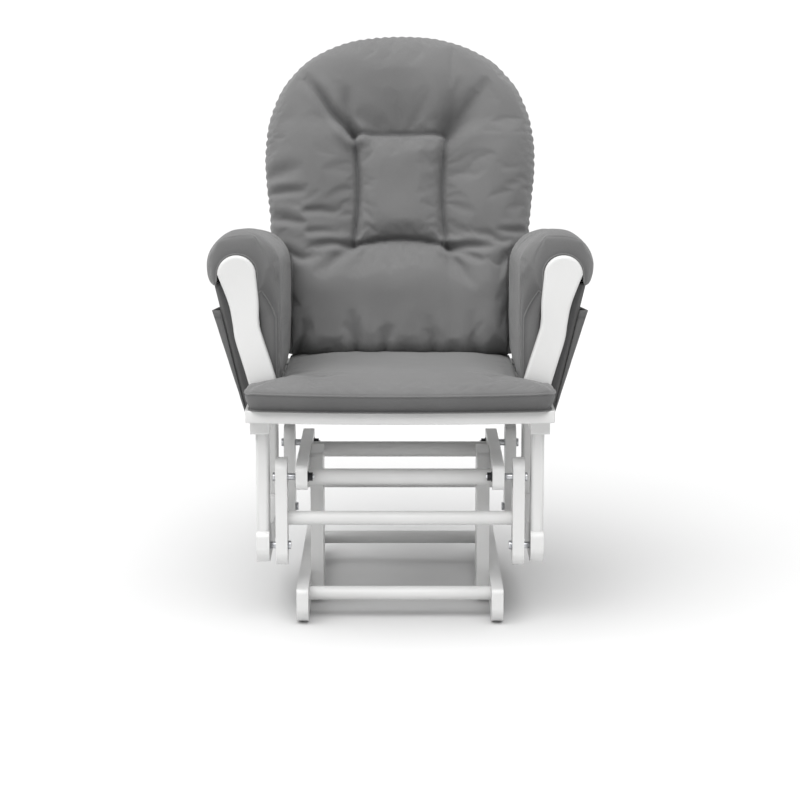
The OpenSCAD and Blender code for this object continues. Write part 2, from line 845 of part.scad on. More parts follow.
module seat_cushion() {
    front = mid_y - cushion_front;
    rear = mid_y + back_foot - 22;
    ear_w = seat_w + 2;
    ear_d = support_front - soft_gap - front;
    ear_r = 22;
    half = arm_in - 2;
    body_front = front + 30;
    body_r = 20;
    notch_in = support_line[0][1] - support_line[0][2] / 2 - 1;
    color(cloth) intersection() {
        translate([0, 0, seat_top + soft_gap]) linear_extrude(seat_cushion_t) difference() {
            union() {
                translate([-ear_w / 2, front]) rounded_panel(ear_w, ear_d, ear_r);
                translate([-half, body_front]) rounded_panel(2 * half, rear - body_front, body_r);
            }
            for (x = [-half - 1, notch_in]) {
                translate([x, support_front - soft_gap])
                    square([half + 1 - notch_in, support_t + 2 * soft_gap]);
            }
        }
        below_seat_line(0);
    }
}

// The cushion is narrow between the arms and wide above and behind them
module back_cushion() {
    low = -8;
    neck = 268;
    arch = 334;
    half = arm_in - 2;
    neck_half = armrest_in - 3;
    crown_half = hoop_r + 11;
    crown_top = hoop_len + 2.4;
    crown_r = 215;
    face = -back_cushion_t - soft_gap;
    rear = mid_y + 2 * back_foot;
    color(cloth) difference() {
        union() {
            back_shape(face, back_cushion_t) union() {
                translate([-half, low]) square([2 * half, neck - low + 1]);
                translate([-neck_half, neck]) square([2 * neck_half, arch - neck + 1]);
                intersection() {
                    translate([-crown_half, 0]) rounded_panel(2 * crown_half, crown_top, crown_r);
                    translate([-seat_w, arch]) square([2 * seat_w, seat_w]);
                }
            }
            intersection() {
                back_shape(face, back_cushion_t)
                    translate([-neck_half, low]) square([2 * neck_half, neck - low + 1]);
                block([-seat_w, arm_rear + 1, 0], [seat_w, rear, back_cushion_top]);
            }
        }
        below_seat_line(soft_gap);
        block([-seat_w, mid_y, back_cushion_top], [seat_w, rear, back_cushion_top + back_cushion_t]);
    }
}

// The arm's padding in cross-section: a half round over the armrest, a short outer lip,
// and a long leg down the inner side
module arm_cushion() {
    roll_r = (arm_out - arm_in) / 2;
    roll_x = arm_in + roll_r;
    roll_z = arm_top - roll_r;
    leg_top = arm_outer_low + 2;
    leg_t = 23;
    leg_top_t = 31;
    head_x = support_head[1];
    head_z = seat_top + support_head[0];
    head_r = support_head[2] / 2 + 1.5;
    under = 6;
    color(cloth) union() {
        on_arm() front_shape(arm_front, arm_roll_rear - arm_front) difference() {
            union() {
                translate([roll_x, roll_z]) circle(roll_r, $fn = 96);
                translate([arm_in, arm_outer_low]) square([2 * roll_r, roll_z - arm_outer_low]);
            }
            translate([arm_in - 1, 0]) square([2 * roll_r + 2, arm_outer_low]);
            translate([head_x, head_z]) circle(head_r);
            translate([head_x - head_r, 0]) square([2 * head_r, head_z]);
            translate([armrest_in - soft_gap, armrest_low - under])
                square([armrest_w + 2 * soft_gap, armrest_t + under + soft_gap]);
        }
        below_arm_line(leg_top) front_shape(arm_leg_front, arm_rear - arm_leg_front) polygon([
            [arm_in, arm_leg_low], [arm_in + leg_t, arm_leg_low],
            [arm_in + leg_top_t, leg_top], [arm_in, leg_top]
        ]);
    }
}

// Outer face of an arm's cloth side panel at a height, and inner face of the pocket's cloth
pocket_out = pocket_foot + pocket_lean * (pocket_high - pocket_low) + pocket_cloth + pocket_mouth;

function panel_face(z) = pocket_foot + pocket_lean * (z - pocket_low) + pocket_cloth;

function pocket_face(z) =
    let (foot = panel_face(pocket_low) + soft_gap, mouth = pocket_out - pocket_cloth)
    foot + (mouth - foot) * (z - pocket_low) / (pocket_high - pocket_low);

// An arm's cloth side panel, the pocket's cloth standing off it, and a gusset at each end
module arm_pocket() {
    t = pocket_cloth;
    panel_top = arm_outer_low - soft_gap;
    color(cloth) union() {
        below_arm_line(panel_top) front_shape(pocket_front, pocket_len) polygon([
            [panel_face(pocket_low) - t, pocket_low], [panel_face(pocket_low), pocket_low],
            [panel_face(panel_top), panel_top], [panel_face(panel_top) - t, panel_top]
        ]);
        below_arm_line(pocket_high) front_shape(pocket_front, pocket_len) polygon([
            [pocket_face(pocket_low), pocket_low], [pocket_face(pocket_low) + t, pocket_low],
            [pocket_out, pocket_high], [pocket_out - t, pocket_high]
        ]);
        for (y = [pocket_front, pocket_front + pocket_len - t]) {
            below_arm_line(pocket_high) front_shape(y, t) polygon([
                [panel_face(gusset_low) + soft_gap, gusset_low],
                [pocket_face(gusset_low) - soft_gap, gusset_low],
                [pocket_face(pocket_high) - soft_gap, pocket_high],
                [panel_face(pocket_high) + soft_gap, pocket_high]
            ]);
        }
    }
}

left() runner();  // runner_left
runner();  // runner_right
left() upright();  // upright_left
upright();  // upright_right
left() beam();  // beam_left
beam();  // beam_right
upper_stretcher(upper_front_dowel_y);  // upper_front_stretcher
upper_stretcher(upper_rear_dowel_y);  // upper_rear_stretcher
lower_stretcher(lower_front_dowel_y);  // lower_front_stretcher
lower_stretcher(lower_rear_dowel_y);  // lower_rear_stretcher
floor_pads();
base_screws();
upper_pivot_bolts();
upper_pivot_nuts();
upper_pivot_sleeves();
upper_inner_rings();
left() swing_arm(front_y);  // front_swing_arm_left
swing_arm(front_y);  // front_swing_arm_right
swing_dowel(front_y);  // front_swing_dowel
bearings(front_y);  // front_bearings
left() swing_arm(rear_y);  // rear_swing_arm_left
swing_arm(rear_y);  // rear_swing_arm_right
swing_dowel(rear_y);  // rear_swing_dowel
bearings(rear_y);  // rear_bearings
left() bottom_rail();  // bottom_rail_left
bottom_rail();  // bottom_rail_right
lower_pivot_bolts();
lower_pivot_inserts();
lower_pivot_sleeves();
lower_inner_rings();
left() post(-1);  // front_post_left
post(-1);  // front_post_right
left() post(1);  // rear_post_left
post(1);  // rear_post_right
left() side_rail();  // side_rail_left
side_rail();  // side_rail_right
seat_front_rail();
seat_rear_rail();
left() seat_side_board();  // seat_side_board_left
seat_side_board();  // seat_side_board_right
seat_slats();
seat_screws();
left() front_arm_support();  // front_arm_support_left
front_arm_support();  // front_arm_support_right
left() armrest_board();  // armrest_board_left
armrest_board();  // armrest_board_right
arm_screws();
back_hoop();
back_slats();
back_bottom_rail();
back_screws();
seat_cushion();
back_cushion();
left() arm_cushion();  // arm_cushion_left
arm_cushion();  // arm_cushion_right
left() arm_pocket();  // arm_pocket_left
arm_pocket();  // arm_pocket_right
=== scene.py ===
"""Looks of the glider nursery chair: satin paint, steel, woven cloth, padded cushions and side pockets."""

import json
import math

import bmesh
import bpy
import numpy as np
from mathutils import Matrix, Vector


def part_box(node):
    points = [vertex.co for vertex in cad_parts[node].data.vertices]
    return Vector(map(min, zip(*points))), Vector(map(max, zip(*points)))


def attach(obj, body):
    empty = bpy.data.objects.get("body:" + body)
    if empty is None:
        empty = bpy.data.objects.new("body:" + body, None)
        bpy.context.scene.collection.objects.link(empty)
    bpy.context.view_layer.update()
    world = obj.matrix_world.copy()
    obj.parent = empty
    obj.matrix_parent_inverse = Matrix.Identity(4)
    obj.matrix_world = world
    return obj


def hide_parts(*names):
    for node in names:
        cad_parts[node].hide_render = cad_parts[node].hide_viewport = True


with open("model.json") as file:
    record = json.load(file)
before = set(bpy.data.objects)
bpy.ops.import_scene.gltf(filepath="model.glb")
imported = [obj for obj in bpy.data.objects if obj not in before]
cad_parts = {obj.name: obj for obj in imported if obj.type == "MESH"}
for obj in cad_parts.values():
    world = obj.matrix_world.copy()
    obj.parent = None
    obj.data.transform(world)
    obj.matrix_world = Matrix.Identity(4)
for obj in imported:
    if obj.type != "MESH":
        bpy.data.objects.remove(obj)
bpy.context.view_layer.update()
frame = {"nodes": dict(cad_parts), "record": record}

# ---- Places taken from the frame, in metres ----

seat_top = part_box("seat_side_board_right")[1][2]
pivots_y = [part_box(f"{end}_swing_arm_right") for end in ("front", "rear")]
mid_y = sum(low[1] + high[1] for low, high in pivots_y) / 4
back_foot_y = mid_y + 0.280
back_lean = math.radians(16)
seat_low_corner, seat_high_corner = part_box("seat_cushion")
arm_low_corner, arm_high_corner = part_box("arm_cushion_right")
board_low_corner, board_high_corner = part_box("armrest_board_right")
pocket_low_corner, pocket_high_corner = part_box("arm_pocket_right")
support_low_corner, support_high_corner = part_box("front_arm_support_right")

# Fall towards the rear of the armrests and of the seat cushion's top
ARM_FALL = math.radians(6)
SEAT_FALL = math.radians(4)
# Room between a cushion and what it rests on, and beside the seat cushion
SOFT_GAP = 0.0012
SEAT_SIDE_GAP = 0.0022

# ---- Small helpers ----


def smooth(value, low, high):
    """0 below low, 1 above high, and smooth between them. high may be the smaller one."""
    t = np.clip((value - low) / (high - low), 0, 1)
    return t * t * (3 - 2 * t)


def rounded(depth, radius):
    """Height of a quarter round, 0 at an edge and 1 from radius inwards."""
    t = np.clip(depth / radius, 0, 1)
    return np.sqrt(1 - (1 - t) ** 2)


def along(points, count):
    """count points evenly spaced along an open line of points."""
    points = np.array(points, float)
    steps = np.linalg.norm(np.diff(points, axis=0), axis=1)
    reach = np.concatenate([[0], np.cumsum(steps)])
    at = np.linspace(0, reach[-1], count)
    return np.stack([np.interp(at, reach, points[:, k]) for k in range(points.shape[1])], axis=1)


def line_distance(points, line):
    """For each point: the distance to a line of points, and the share of its length at the nearest place."""
    points = np.asarray(points, float)
    line = np.asarray(line, float)
    best = np.full(points.shape[:-1], np.inf)
    share = np.zeros(points.shape[:-1])
    steps = np.linalg.norm(np.diff(line, axis=0), axis=1)
    total = steps.sum()
    passed = 0.0
    for start, end, step in zip(line[:-1], line[1:], steps):
        way = end - start
        t = np.clip(((points - start) @ way) / (step * step), 0, 1)
        gap = np.linalg.norm(points - (start + t[..., None] * way), axis=-1)
        closer = gap < best
        best = np.where(closer, gap, best)
        share = np.where(closer, (passed + t * step) / total, share)
        passed += step
    return best, share


def wobble(x, y, pitch, seed):
    """A smooth, repeatable unevenness from -1 to 1 over a surface."""
    random = np.random.default_rng(seed)
    total = 0
    for angle, phase, stretch in zip(
        random.uniform(0, math.pi, 7), random.uniform(0, 2 * math.pi, 7), random.uniform(0.7, 1.6, 7)
    ):
        turned = x * math.cos(angle) + y * math.sin(angle)
        total = total + np.sin(turned * 2 * math.pi / (pitch * stretch) + phase)
    return total / 7


def arm_drop(y):
    """How far the sloping arms have fallen at a place behind their front supports."""
    return math.tan(ARM_FALL) * (y - support_high_corner[1] + 0.005)


# ---- Materials ----


class Shader:
    """A material with one Principled shader, and short calls to add and join nodes."""

    def __init__(self, name):
        self.material = bpy.data.materials.new(name)
        self.material.use_nodes = True
        self.nodes = self.material.node_tree.nodes
        self.links = self.material.node_tree.links
        self.surface = self.nodes["Principled BSDF"]

    def set(self, **values):
        for name, value in values.items():
            self.surface.inputs[name.replace("_", " ")].default_value = value

    def add(self, kind, settings=None, **inputs):
        node = self.nodes.new(kind)
        for name, value in (settings or {}).items():
            setattr(node, name, value)
        for name, value in inputs.items():
            self.put(value, node.inputs[name.replace("_", " ")])
        return node

    def put(self, value, socket):
        if hasattr(value, "links"):
            self.links.new(value, socket)
        else:
            socket.default_value = value

    def math(self, operation, first, second=0.0):
        node = self.nodes.new("ShaderNodeMath")
        node.operation = operation
        self.put(first, node.inputs[0])
        self.put(second, node.inputs[1])
        return node.outputs[0]

    def object_point(self, stretch=(1, 1, 1)):
        place = self.nodes.new("ShaderNodeTexCoord").outputs["Object"]
        mapping = self.add("ShaderNodeMapping", Vector=place, Scale=stretch)
        return mapping.outputs["Vector"]

    def noise(self, scale, detail=3.0, stretch=(1, 1, 1)):
        node = self.add(
            "ShaderNodeTexNoise", Vector=self.object_point(stretch), Scale=scale, Detail=detail
        )
        return node.outputs["Fac"]

    def ramp(self, factor, low, high):
        """A colour or a grey that goes from low to high as factor goes from 0.3 to 0.7."""
        node = self.add("ShaderNodeValToRGB", Fac=factor)
        for element, place, value in zip(node.color_ramp.elements, (0.3, 0.7), (low, high)):
            element.position = place
            element.color = (*value, 1) if hasattr(value, "__len__") else (value, value, value, 1)
        return node.outputs["Color"]

    def bump(self, height, distance, strength=1.0, below=None):
        node = self.add("ShaderNodeBump", Height=height, Distance=distance, Strength=strength)
        if below is not None:
            self.links.new(below, node.inputs["Normal"])
        return node.outputs["Normal"]


def painted_wood():
    """White satin paint over close-grained wood: faint grain, brush texture and a slightly uneven gloss."""
    s = Shader("white satin paint")
    s.put(s.ramp(s.noise(7, 4), (0.600, 0.600, 0.595), (0.640, 0.640, 0.636)), s.surface.inputs["Base Color"])
    s.put(s.ramp(s.noise(30, 4), 0.33, 0.45), s.surface.inputs["Roughness"])
    grain = s.noise(26, 5, stretch=(7, 7, 1))
    peel = s.noise(900, 2)
    s.put(s.bump(grain, 0.00012, 0.7, s.bump(peel, 0.00004, 0.6)), s.surface.inputs["Normal"])
    s.set(Coat_Weight=0.12, Coat_Roughness=0.22, IOR=1.48)
    return s.material


def plated_steel():
    """Zinc-plated steel with fine turning lines."""
    s = Shader("zinc-plated steel")
    s.put(s.ramp(s.noise(60, 3), (0.52, 0.53, 0.55), (0.64, 0.65, 0.67)), s.surface.inputs["Base Color"])
    s.put(s.ramp(s.noise(420, 3, stretch=(9, 1, 1)), 0.20, 0.36), s.surface.inputs["Roughness"])
    s.put(s.bump(s.noise(600, 2, stretch=(8, 1, 1)), 0.00003, 0.6), s.surface.inputs["Normal"])
    s.set(Metallic=1.0)
    return s.material


def black_steel():
    """Black oxide steel of the lock nuts."""
    s = Shader("black oxide steel")
    s.put(s.ramp(s.noise(110, 3), (0.018, 0.018, 0.02), (0.04, 0.04, 0.044)), s.surface.inputs["Base Color"])
    s.put(s.ramp(s.noise(260, 3), 0.34, 0.52), s.surface.inputs["Roughness"])
    s.put(s.bump(s.noise(700, 2), 0.00003, 0.6), s.surface.inputs["Normal"])
    s.set(Metallic=0.6)
    return s.material


def pad_plastic():
    """Grey moulded plastic of the floor pads, with a fine spark texture."""
    s = Shader("grey moulded plastic")
    s.put(s.ramp(s.noise(90, 3), (0.17, 0.17, 0.18), (0.21, 0.21, 0.22)), s.surface.inputs["Base Color"])
    s.put(s.ramp(s.noise(300, 3), 0.48, 0.62), s.surface.inputs["Roughness"])
    s.put(s.bump(s.noise(1500, 2), 0.00005, 0.8), s.surface.inputs["Normal"])
    return s.material


THREAD_PITCH = 0.0011


def woven_cloth(name="grey woven cloth", shade=1.0):
    """Smooth mid-grey plain weave: threads follow the object's axes, so it needs no unwrapping."""
    s = Shader(name)
    wave = s.add("ShaderNodeVectorMath", {"operation": "SINE"})
    turns = 2 * math.pi / THREAD_PITCH
    s.links.new(s.object_point((turns, turns, turns)), wave.inputs[0])
    axes = s.add("ShaderNodeSeparateXYZ", Vector=wave.outputs["Vector"]).outputs
    pairs = [s.math("MULTIPLY", axes[a], axes[b]) for a, b in ((0, 1), (1, 2), (2, 0))]
    weave = s.math("ADD", s.math("ADD", pairs[0], pairs[1]), pairs[2])
    slub = s.noise(1400, 2)
    # shade below 1 darkens the whole cloth as painted shade, for cloth that faces down and away from the
    # light
    dark = [0.138 * shade] * 3
    light = [0.162 * shade] * 3
    dye = s.ramp(s.noise(5, 4), dark, light)
    heather = s.ramp(slub, 0.90, 1.08)
    tone = s.add("ShaderNodeMix", {"data_type": "RGBA", "blend_type": "MULTIPLY"})
    tone.inputs["Factor"].default_value = 1.0
    s.put(dye, tone.inputs["A"])
    s.put(heather, tone.inputs["B"])
    # A vertex attribute mixes in a dark grey here: painted shade in creases, seams, turned edges and shadowed
    # walls
    painted_shade = s.add("ShaderNodeAttribute", {"attribute_name": "painted_shade"})
    painted_shade_mix = s.add("ShaderNodeMix", {"data_type": "RGBA", "blend_type": "MULTIPLY"})
    s.put(s.math("MULTIPLY", painted_shade.outputs["Fac"], 0.8), painted_shade_mix.inputs["Factor"])
    s.put(tone.outputs["Result"], painted_shade_mix.inputs["A"])
    painted_shade_mix.inputs["B"].default_value = (0.22, 0.22, 0.23, 1)
    s.put(painted_shade_mix.outputs["Result"], s.surface.inputs["Base Color"])
    s.put(s.ramp(s.noise(40, 3), 0.80, 0.92), s.surface.inputs["Roughness"])
    crumple = s.bump(s.noise(24, 4), 0.0016, 0.35)
    s.put(s.bump(weave, 0.00012, 0.6, s.bump(slub, 0.0001, 0.5, crumple)), s.surface.inputs["Normal"])
    s.set(Sheen_Weight=0.25, Sheen_Roughness=0.45, Specular_IOR_Level=0.25)
    return s.material


FINISHES = {
    "white_wood": painted_wood(),
    "zinc_steel": plated_steel(),
    "black_steel": black_steel(),
    "grey_plastic": pad_plastic(),
    "grey_fabric": woven_cloth(),
}
CLOTH = FINISHES["grey_fabric"]

# ---- CAD nodes: finish, and softened edges on the wood ----

EDGE_SOFTENING = {"white_wood": 0.0018, "zinc_steel": 0.0004, "black_steel": 0.0004, "grey_plastic": 0.0005}


def finish_node(node, slot_name):
    node.data.materials.clear()
    node.data.materials.append(FINISHES[slot_name])
    if slot_name not in EDGE_SOFTENING:
        return
    weld = node.modifiers.new("weld", "WELD")
    weld.merge_threshold = 0.00002
    bevel = node.modifiers.new("soft edges", "BEVEL")
    bevel.width = EDGE_SOFTENING[slot_name]
    bevel.segments = 2
    bevel.limit_method = "ANGLE"
    bevel.angle_limit = math.radians(34)
    bevel.harden_normals = True


for row in frame["record"]["subparts"]:
    finish_node(frame["nodes"][row["node"]], row["material_slot"])

# ---- Building padded pieces ----


def grid_faces(rows, columns, number):
    """Quads of a grid, where number(i, j) is the vertex at row i, column j."""
    return [
        (number(i, j), number(i, j + 1), number(i + 1, j + 1), number(i + 1, j))
        for i in range(rows - 1)
        for j in range(columns - 1)
    ]


def rim_of(rows, columns):
    """Places round the edge of a grid, in order."""
    rim = [(0, j) for j in range(columns)]
    rim += [(i, columns - 1) for i in range(1, rows)]
    rim += [(rows - 1, j) for j in range(columns - 2, -1, -1)]
    rim += [(i, 0) for i in range(rows - 2, 0, -1)]
    return rim


def new_piece(name, vertices, faces, painted_shade=None, material=CLOTH):
    mesh = bpy.data.meshes.new(name)
    mesh.from_pydata([tuple(v) for v in vertices], [], faces)
    mesh.validate()
    # Per-vertex amount of painted shade, which the cloth's colour reads
    attribute = mesh.attributes.new("painted_shade", "FLOAT", "POINT")
    attribute.data.foreach_set("value", np.zeros(len(vertices)) if painted_shade is None else np.asarray(painted_shade, float))
    mesh.polygons.foreach_set("use_smooth", [True] * len(mesh.polygons))
    mesh.materials.append(material)
    piece = bpy.data.objects.new(name, mesh)
    bpy.context.scene.collection.objects.link(piece)
    return piece


def pad(name, outer, inner, painted_shade=None, wall=None, wall_painted_shade=0.0):
    """A closed padded piece from two grids that face each other.

    Without a wall the two share the outer grid's rim, as in a knife-edge cushion. wall holds the rows of
    points between the two rims, as in a boxed cushion.
    """
    rows, columns = outer.shape[:2]
    rim = rim_of(rows, columns)
    vertices = [p for line in outer for p in line]
    # Painted shade of each vertex, for the cloth's colour
    shade = list(np.zeros(rows * columns) if painted_shade is None else painted_shade.ravel())
    faces = grid_faces(rows, columns, lambda i, j: i * columns + j)
    number = {}
    last = [i * columns + j for i, j in rim]
    for ring in wall or []:
        start = len(vertices)
        vertices += list(ring)
        # The boxed wall gets an even amount of painted shade
        shade += [wall_painted_shade] * len(ring)
        now = list(range(start, start + len(ring)))
        for k in range(len(rim)):
            after = (k + 1) % len(rim)
            faces.append((last[after], last[k], now[k], now[after]))
        last = now
    for place, vertex in zip(rim, last):
        number[place] = vertex
    for i in range(1, rows - 1):
        for j in range(1, columns - 1):
            number[i, j] = len(vertices)
            vertices.append(inner[i, j])
            shade.append(0.0)
    faces += [face[::-1] for face in grid_faces(rows, columns, lambda i, j: number[i, j])]
    return new_piece(name, vertices, faces, shade)


def coordinates(piece):
    values = np.empty(len(piece.data.vertices) * 3)
    piece.data.vertices.foreach_get("co", values)
    return values.reshape(-1, 3)


def set_coordinates(piece, points):
    piece.data.vertices.foreach_set("co", np.asarray(points, float).ravel())
    piece.data.update()


def face_outwards(piece):
    """Turns every face to point out of the closed piece."""
    work = bmesh.new()
    work.from_mesh(piece.data)
    bmesh.ops.recalc_face_normals(work, faces=work.faces)
    work.to_mesh(piece.data)
    work.free()


def subdivide(piece):
    modifier = piece.modifiers.new("rounding", "SUBSURF")
    modifier.levels = 1
    modifier.render_levels = 1


def fill_with_air(piece, held, pressure, most, frames=20, slack=0.0):
    """Swells a piece with Blender's cloth: held is 1 where it stays put, most is the longest movement."""
    start = coordinates(piece)
    group = piece.vertex_groups.new(name="held")
    for index, weight in enumerate(held):
        if weight > 0:
            group.add([index], float(weight), "REPLACE")
    modifier = piece.modifiers.new("cloth", "CLOTH")
    settings = modifier.settings
    settings.vertex_group_mass = "held"
    settings.use_pressure = True
    settings.uniform_pressure_force = pressure
    settings.quality = 5
    settings.mass = 0.25
    settings.tension_stiffness = 12
    settings.compression_stiffness = 12
    settings.shear_stiffness = 6
    settings.bending_stiffness = 0.4
    settings.shrink_min = -slack
    settings.effector_weights.gravity = 0
    modifier.collision_settings.use_collision = False
    modifier.point_cache.frame_start = 1
    modifier.point_cache.frame_end = frames
    scene = bpy.context.scene
    for step in range(1, frames + 1):
        scene.frame_set(step)
    view = bpy.context.evaluated_depsgraph_get()
    swollen = piece.evaluated_get(view).to_mesh()
    values = np.empty(len(swollen.vertices) * 3)
    swollen.vertices.foreach_get("co", values)
    piece.modifiers.remove(modifier)
    piece.vertex_groups.remove(group)
    scene.frame_set(1)
    move = values.reshape(-1, 3) - start
    length = np.linalg.norm(move, axis=1, keepdims=True)
    set_coordinates(piece, start + move * np.minimum(1, most / np.maximum(length, 1e-9)))


def relax_cover(piece, rim_hold, pressure, most, slack):
    """Swells a pad's outer grid between its held rim; everything after that grid stays where it is."""
    held = np.ones(len(piece.data.vertices))
    held[: rim_hold.size] = rim_hold.ravel().clip(0, 1)
    held[held < 0.25] = 0
    fill_with_air(piece, held, pressure, most, frames=18, slack=slack)


def tube(name, line, radius, sides=8, closed=False, material=CLOTH):
    """A round cord of cloth along a line of points, with rounded-off ends."""
    line = np.asarray(line, float)
    ahead = np.gradient(line, axis=0)
    ahead /= np.linalg.norm(ahead, axis=1, keepdims=True)
    side = np.cross(ahead, [0.31, 0.22, 0.93])
    side /= np.linalg.norm(side, axis=1, keepdims=True)
    up = np.cross(side, ahead)
    count = len(line)
    vertices = []
    for k in range(count):
        size = radius * (0.35 if not closed and k in (0, count - 1) else 1)
        for turn in range(sides):
            angle = 2 * math.pi * turn / sides
            vertices.append(line[k] + size * (math.cos(angle) * side[k] + math.sin(angle) * up[k]))
    faces = []
    for k in range(count if closed else count - 1):
        for turn in range(sides):
            after = (turn + 1) % sides
            here = k * sides
            there = (k + 1) % count * sides
            faces.append((here + turn, here + after, there + after, there + turn))
    if not closed:
        faces.append(tuple(range(sides))[::-1])
        faces.append(tuple((count - 1) * sides + turn for turn in range(sides)))
    return new_piece(name, vertices, faces, material=material)


# ---- Back cushion ----
# Its own plane: x across, v up the leaning back from the seat boards, w forward from the hoop's front face.

# Outline: half width, top, height of the widest place, foot, squareness of the dome, half width at the foot
BACK_HALF = 0.256
BACK_TOP = 0.612
BACK_WIDEST = 0.370
BACK_LOW = 0.002
BACK_ROUNDNESS = 2.35
BACK_FOOT_HALF = 0.234
# The sunken panel in the middle
PANEL_TOP = 0.416
PANEL_LOW = 0.203
PANEL_HALF = 0.087
PANEL_CORNER = 0.010
# Distance in front of the hoop of the rim's seam and of the fullest place
SEAM_W = 0.050
CREST_W = 0.116
# The rim's length and the distance between its gathered stitches
RIM_LENGTH = 2.05
STITCH_PITCH = 0.0165


def on_back(x, v, w):
    """A point of the back's plane in the row frame."""
    sine = math.sin(back_lean)
    cosine = math.cos(back_lean)
    return np.stack([x, back_foot_y + v * sine - w * cosine, seat_top + v * cosine + w * sine], axis=-1)


def back_half_width(v):
    """Half the cushion's width at a height below its widest place."""
    shoulder = BACK_HALF - 0.010 * smooth(v, BACK_WIDEST, 0.240)
    return shoulder + (BACK_FOOT_HALF - shoulder) * smooth(v, 0.262, 0.100)


def pressed_by_arms(points):
    """Keeps the cushion between the arms: its sides lie flat against them and fill out behind them."""
    x, y, z = points[..., 0], points[..., 1], points[..., 2]
    radius = (arm_high_corner[0] - arm_low_corner[0]) / 2
    rise = np.clip(z + arm_drop(y) - (arm_high_corner[2] - radius), 0, radius)
    face = arm_low_corner[0] + radius - np.sqrt(radius**2 - rise**2)
    limit = face - SOFT_GAP + 0.08 * smooth(y, arm_high_corner[1] + 0.001, arm_high_corner[1] + 0.040)
    give = 0.010
    excess = np.maximum(np.abs(x) - (limit - give), 0)
    held = limit - give + give * (1 - np.exp(-excess / give))
    result = points.copy()
    result[..., 0] = np.where(excess > 0, np.sign(x) * held, x)
    return result


def back_grid(rows_low, rows_high, columns):
    """Grid of x and v over the cushion: rows below the widest place, and a dome above it."""
    s = np.linspace(-1, 1, columns)
    lower_v = np.linspace(BACK_LOW, BACK_WIDEST, rows_low, endpoint=False)
    lower_half = back_half_width(lower_v)
    corner = 0.016
    near_low = np.clip(1 - (lower_v - BACK_LOW) / corner, 0, 1)
    lower_half = lower_half - corner * (1 - np.sqrt(1 - near_low**2)) * 0.8
    x_low = lower_half[:, None] * s[None, :]
    v_low = np.repeat(lower_v[:, None], columns, axis=1)
    t = np.linspace(0, 1, rows_high)[:, None]
    disc_x = s[None, :] * np.sqrt(1 - t * t / 2)
    disc_y = t * np.sqrt(1 - s[None, :] ** 2 / 2)
    angle = np.arctan2(disc_y, disc_x)
    power = BACK_ROUNDNESS
    reach = (np.abs(np.cos(angle)) ** power + np.abs(np.sin(angle)) ** power) ** (-1 / power)
    x_high = BACK_HALF * disc_x * reach
    v_high = BACK_WIDEST + (BACK_TOP - BACK_WIDEST) * disc_y * reach
    return np.concatenate([x_low, x_high]), np.concatenate([v_low, v_high])


# Creases of the front: points (x, v), depth, half width; each fades towards its last point
BACK_CREASES = [
    ([(-0.087, 0.414), (-0.128, 0.456), (-0.150, 0.490), (-0.178, 0.519)], 0.016, 0.0085),
    ([(-0.090, 0.420), (-0.099, 0.462), (-0.097, 0.502)], 0.009, 0.010),
    ([(0.090, 0.418), (0.116, 0.450), (0.142, 0.494)], 0.011, 0.018),
    ([(0.088, 0.424), (0.095, 0.470), (0.110, 0.520)], 0.006, 0.014),
    ([(-0.087, 0.203), (-0.124, 0.206), (-0.172, 0.201)], 0.009, 0.0065),
    ([(-0.090, 0.200), (-0.118, 0.178), (-0.142, 0.150)], 0.006, 0.009),
    ([(0.087, 0.203), (0.124, 0.203), (0.174, 0.199)], 0.013, 0.0070),
    ([(0.092, 0.200), (0.122, 0.188), (0.158, 0.170)], 0.009, 0.0065),
    ([(0.088, 0.196), (0.108, 0.168), (0.134, 0.130)], 0.007, 0.0070),
    ([(-0.246, 0.306), (-0.215, 0.306), (-0.172, 0.303)], 0.009, 0.0070),
    ([(-0.246, 0.262), (-0.208, 0.254), (-0.172, 0.240)], 0.010, 0.0085),
    ([(-0.240, 0.338), (-0.205, 0.346), (-0.176, 0.352)], 0.007, 0.0120),
    ([(-0.170, 0.268), (-0.145, 0.270), (-0.112, 0.262)], 0.005, 0.0065),
    ([(-0.166, 0.228), (-0.140, 0.230), (-0.110, 0.226)], 0.004, 0.0060),
    ([(-0.202, 0.190), (-0.180, 0.178), (-0.155, 0.180)], 0.006, 0.0080),
    ([(0.246, 0.236), (0.215, 0.232), (0.176, 0.232)], 0.006, 0.0060),
    ([(0.200, 0.182), (0.186, 0.164), (0.182, 0.128)], 0.006, 0.0090),
    ([(-0.080, 0.012), (-0.082, 0.050), (-0.088, 0.096)], 0.010, 0.0090),
    ([(-0.028, 0.012), (-0.026, 0.046), (-0.022, 0.076)], 0.007, 0.0080),
    ([(-0.188, 0.016), (-0.178, 0.052), (-0.172, 0.098)], 0.009, 0.0085),
    ([(0.062, 0.012), (0.060, 0.048), (0.052, 0.088)], 0.006, 0.0100),
    ([(0.140, 0.014), (0.134, 0.052), (0.130, 0.094)], 0.005, 0.0110),
]


def panel_distance(x, v):
    """Distance outside the centre panel's edge, negative inside it."""
    half = PANEL_HALF - 0.009 * (1 - ((v - 0.5 * (PANEL_TOP + PANEL_LOW)) / 0.1065) ** 2).clip(0, 1)
    low = PANEL_LOW + 0.015 * (1 - (x / PANEL_HALF) ** 2).clip(0, 1)
    across = np.abs(x) - half
    upright = np.maximum(v - PANEL_TOP, low - v)
    across = across + PANEL_CORNER
    upright = upright + PANEL_CORNER
    outside = np.hypot(np.maximum(across, 0), np.maximum(upright, 0)) - PANEL_CORNER
    inside = np.minimum(np.maximum(across, upright), 0)
    return outside + inside


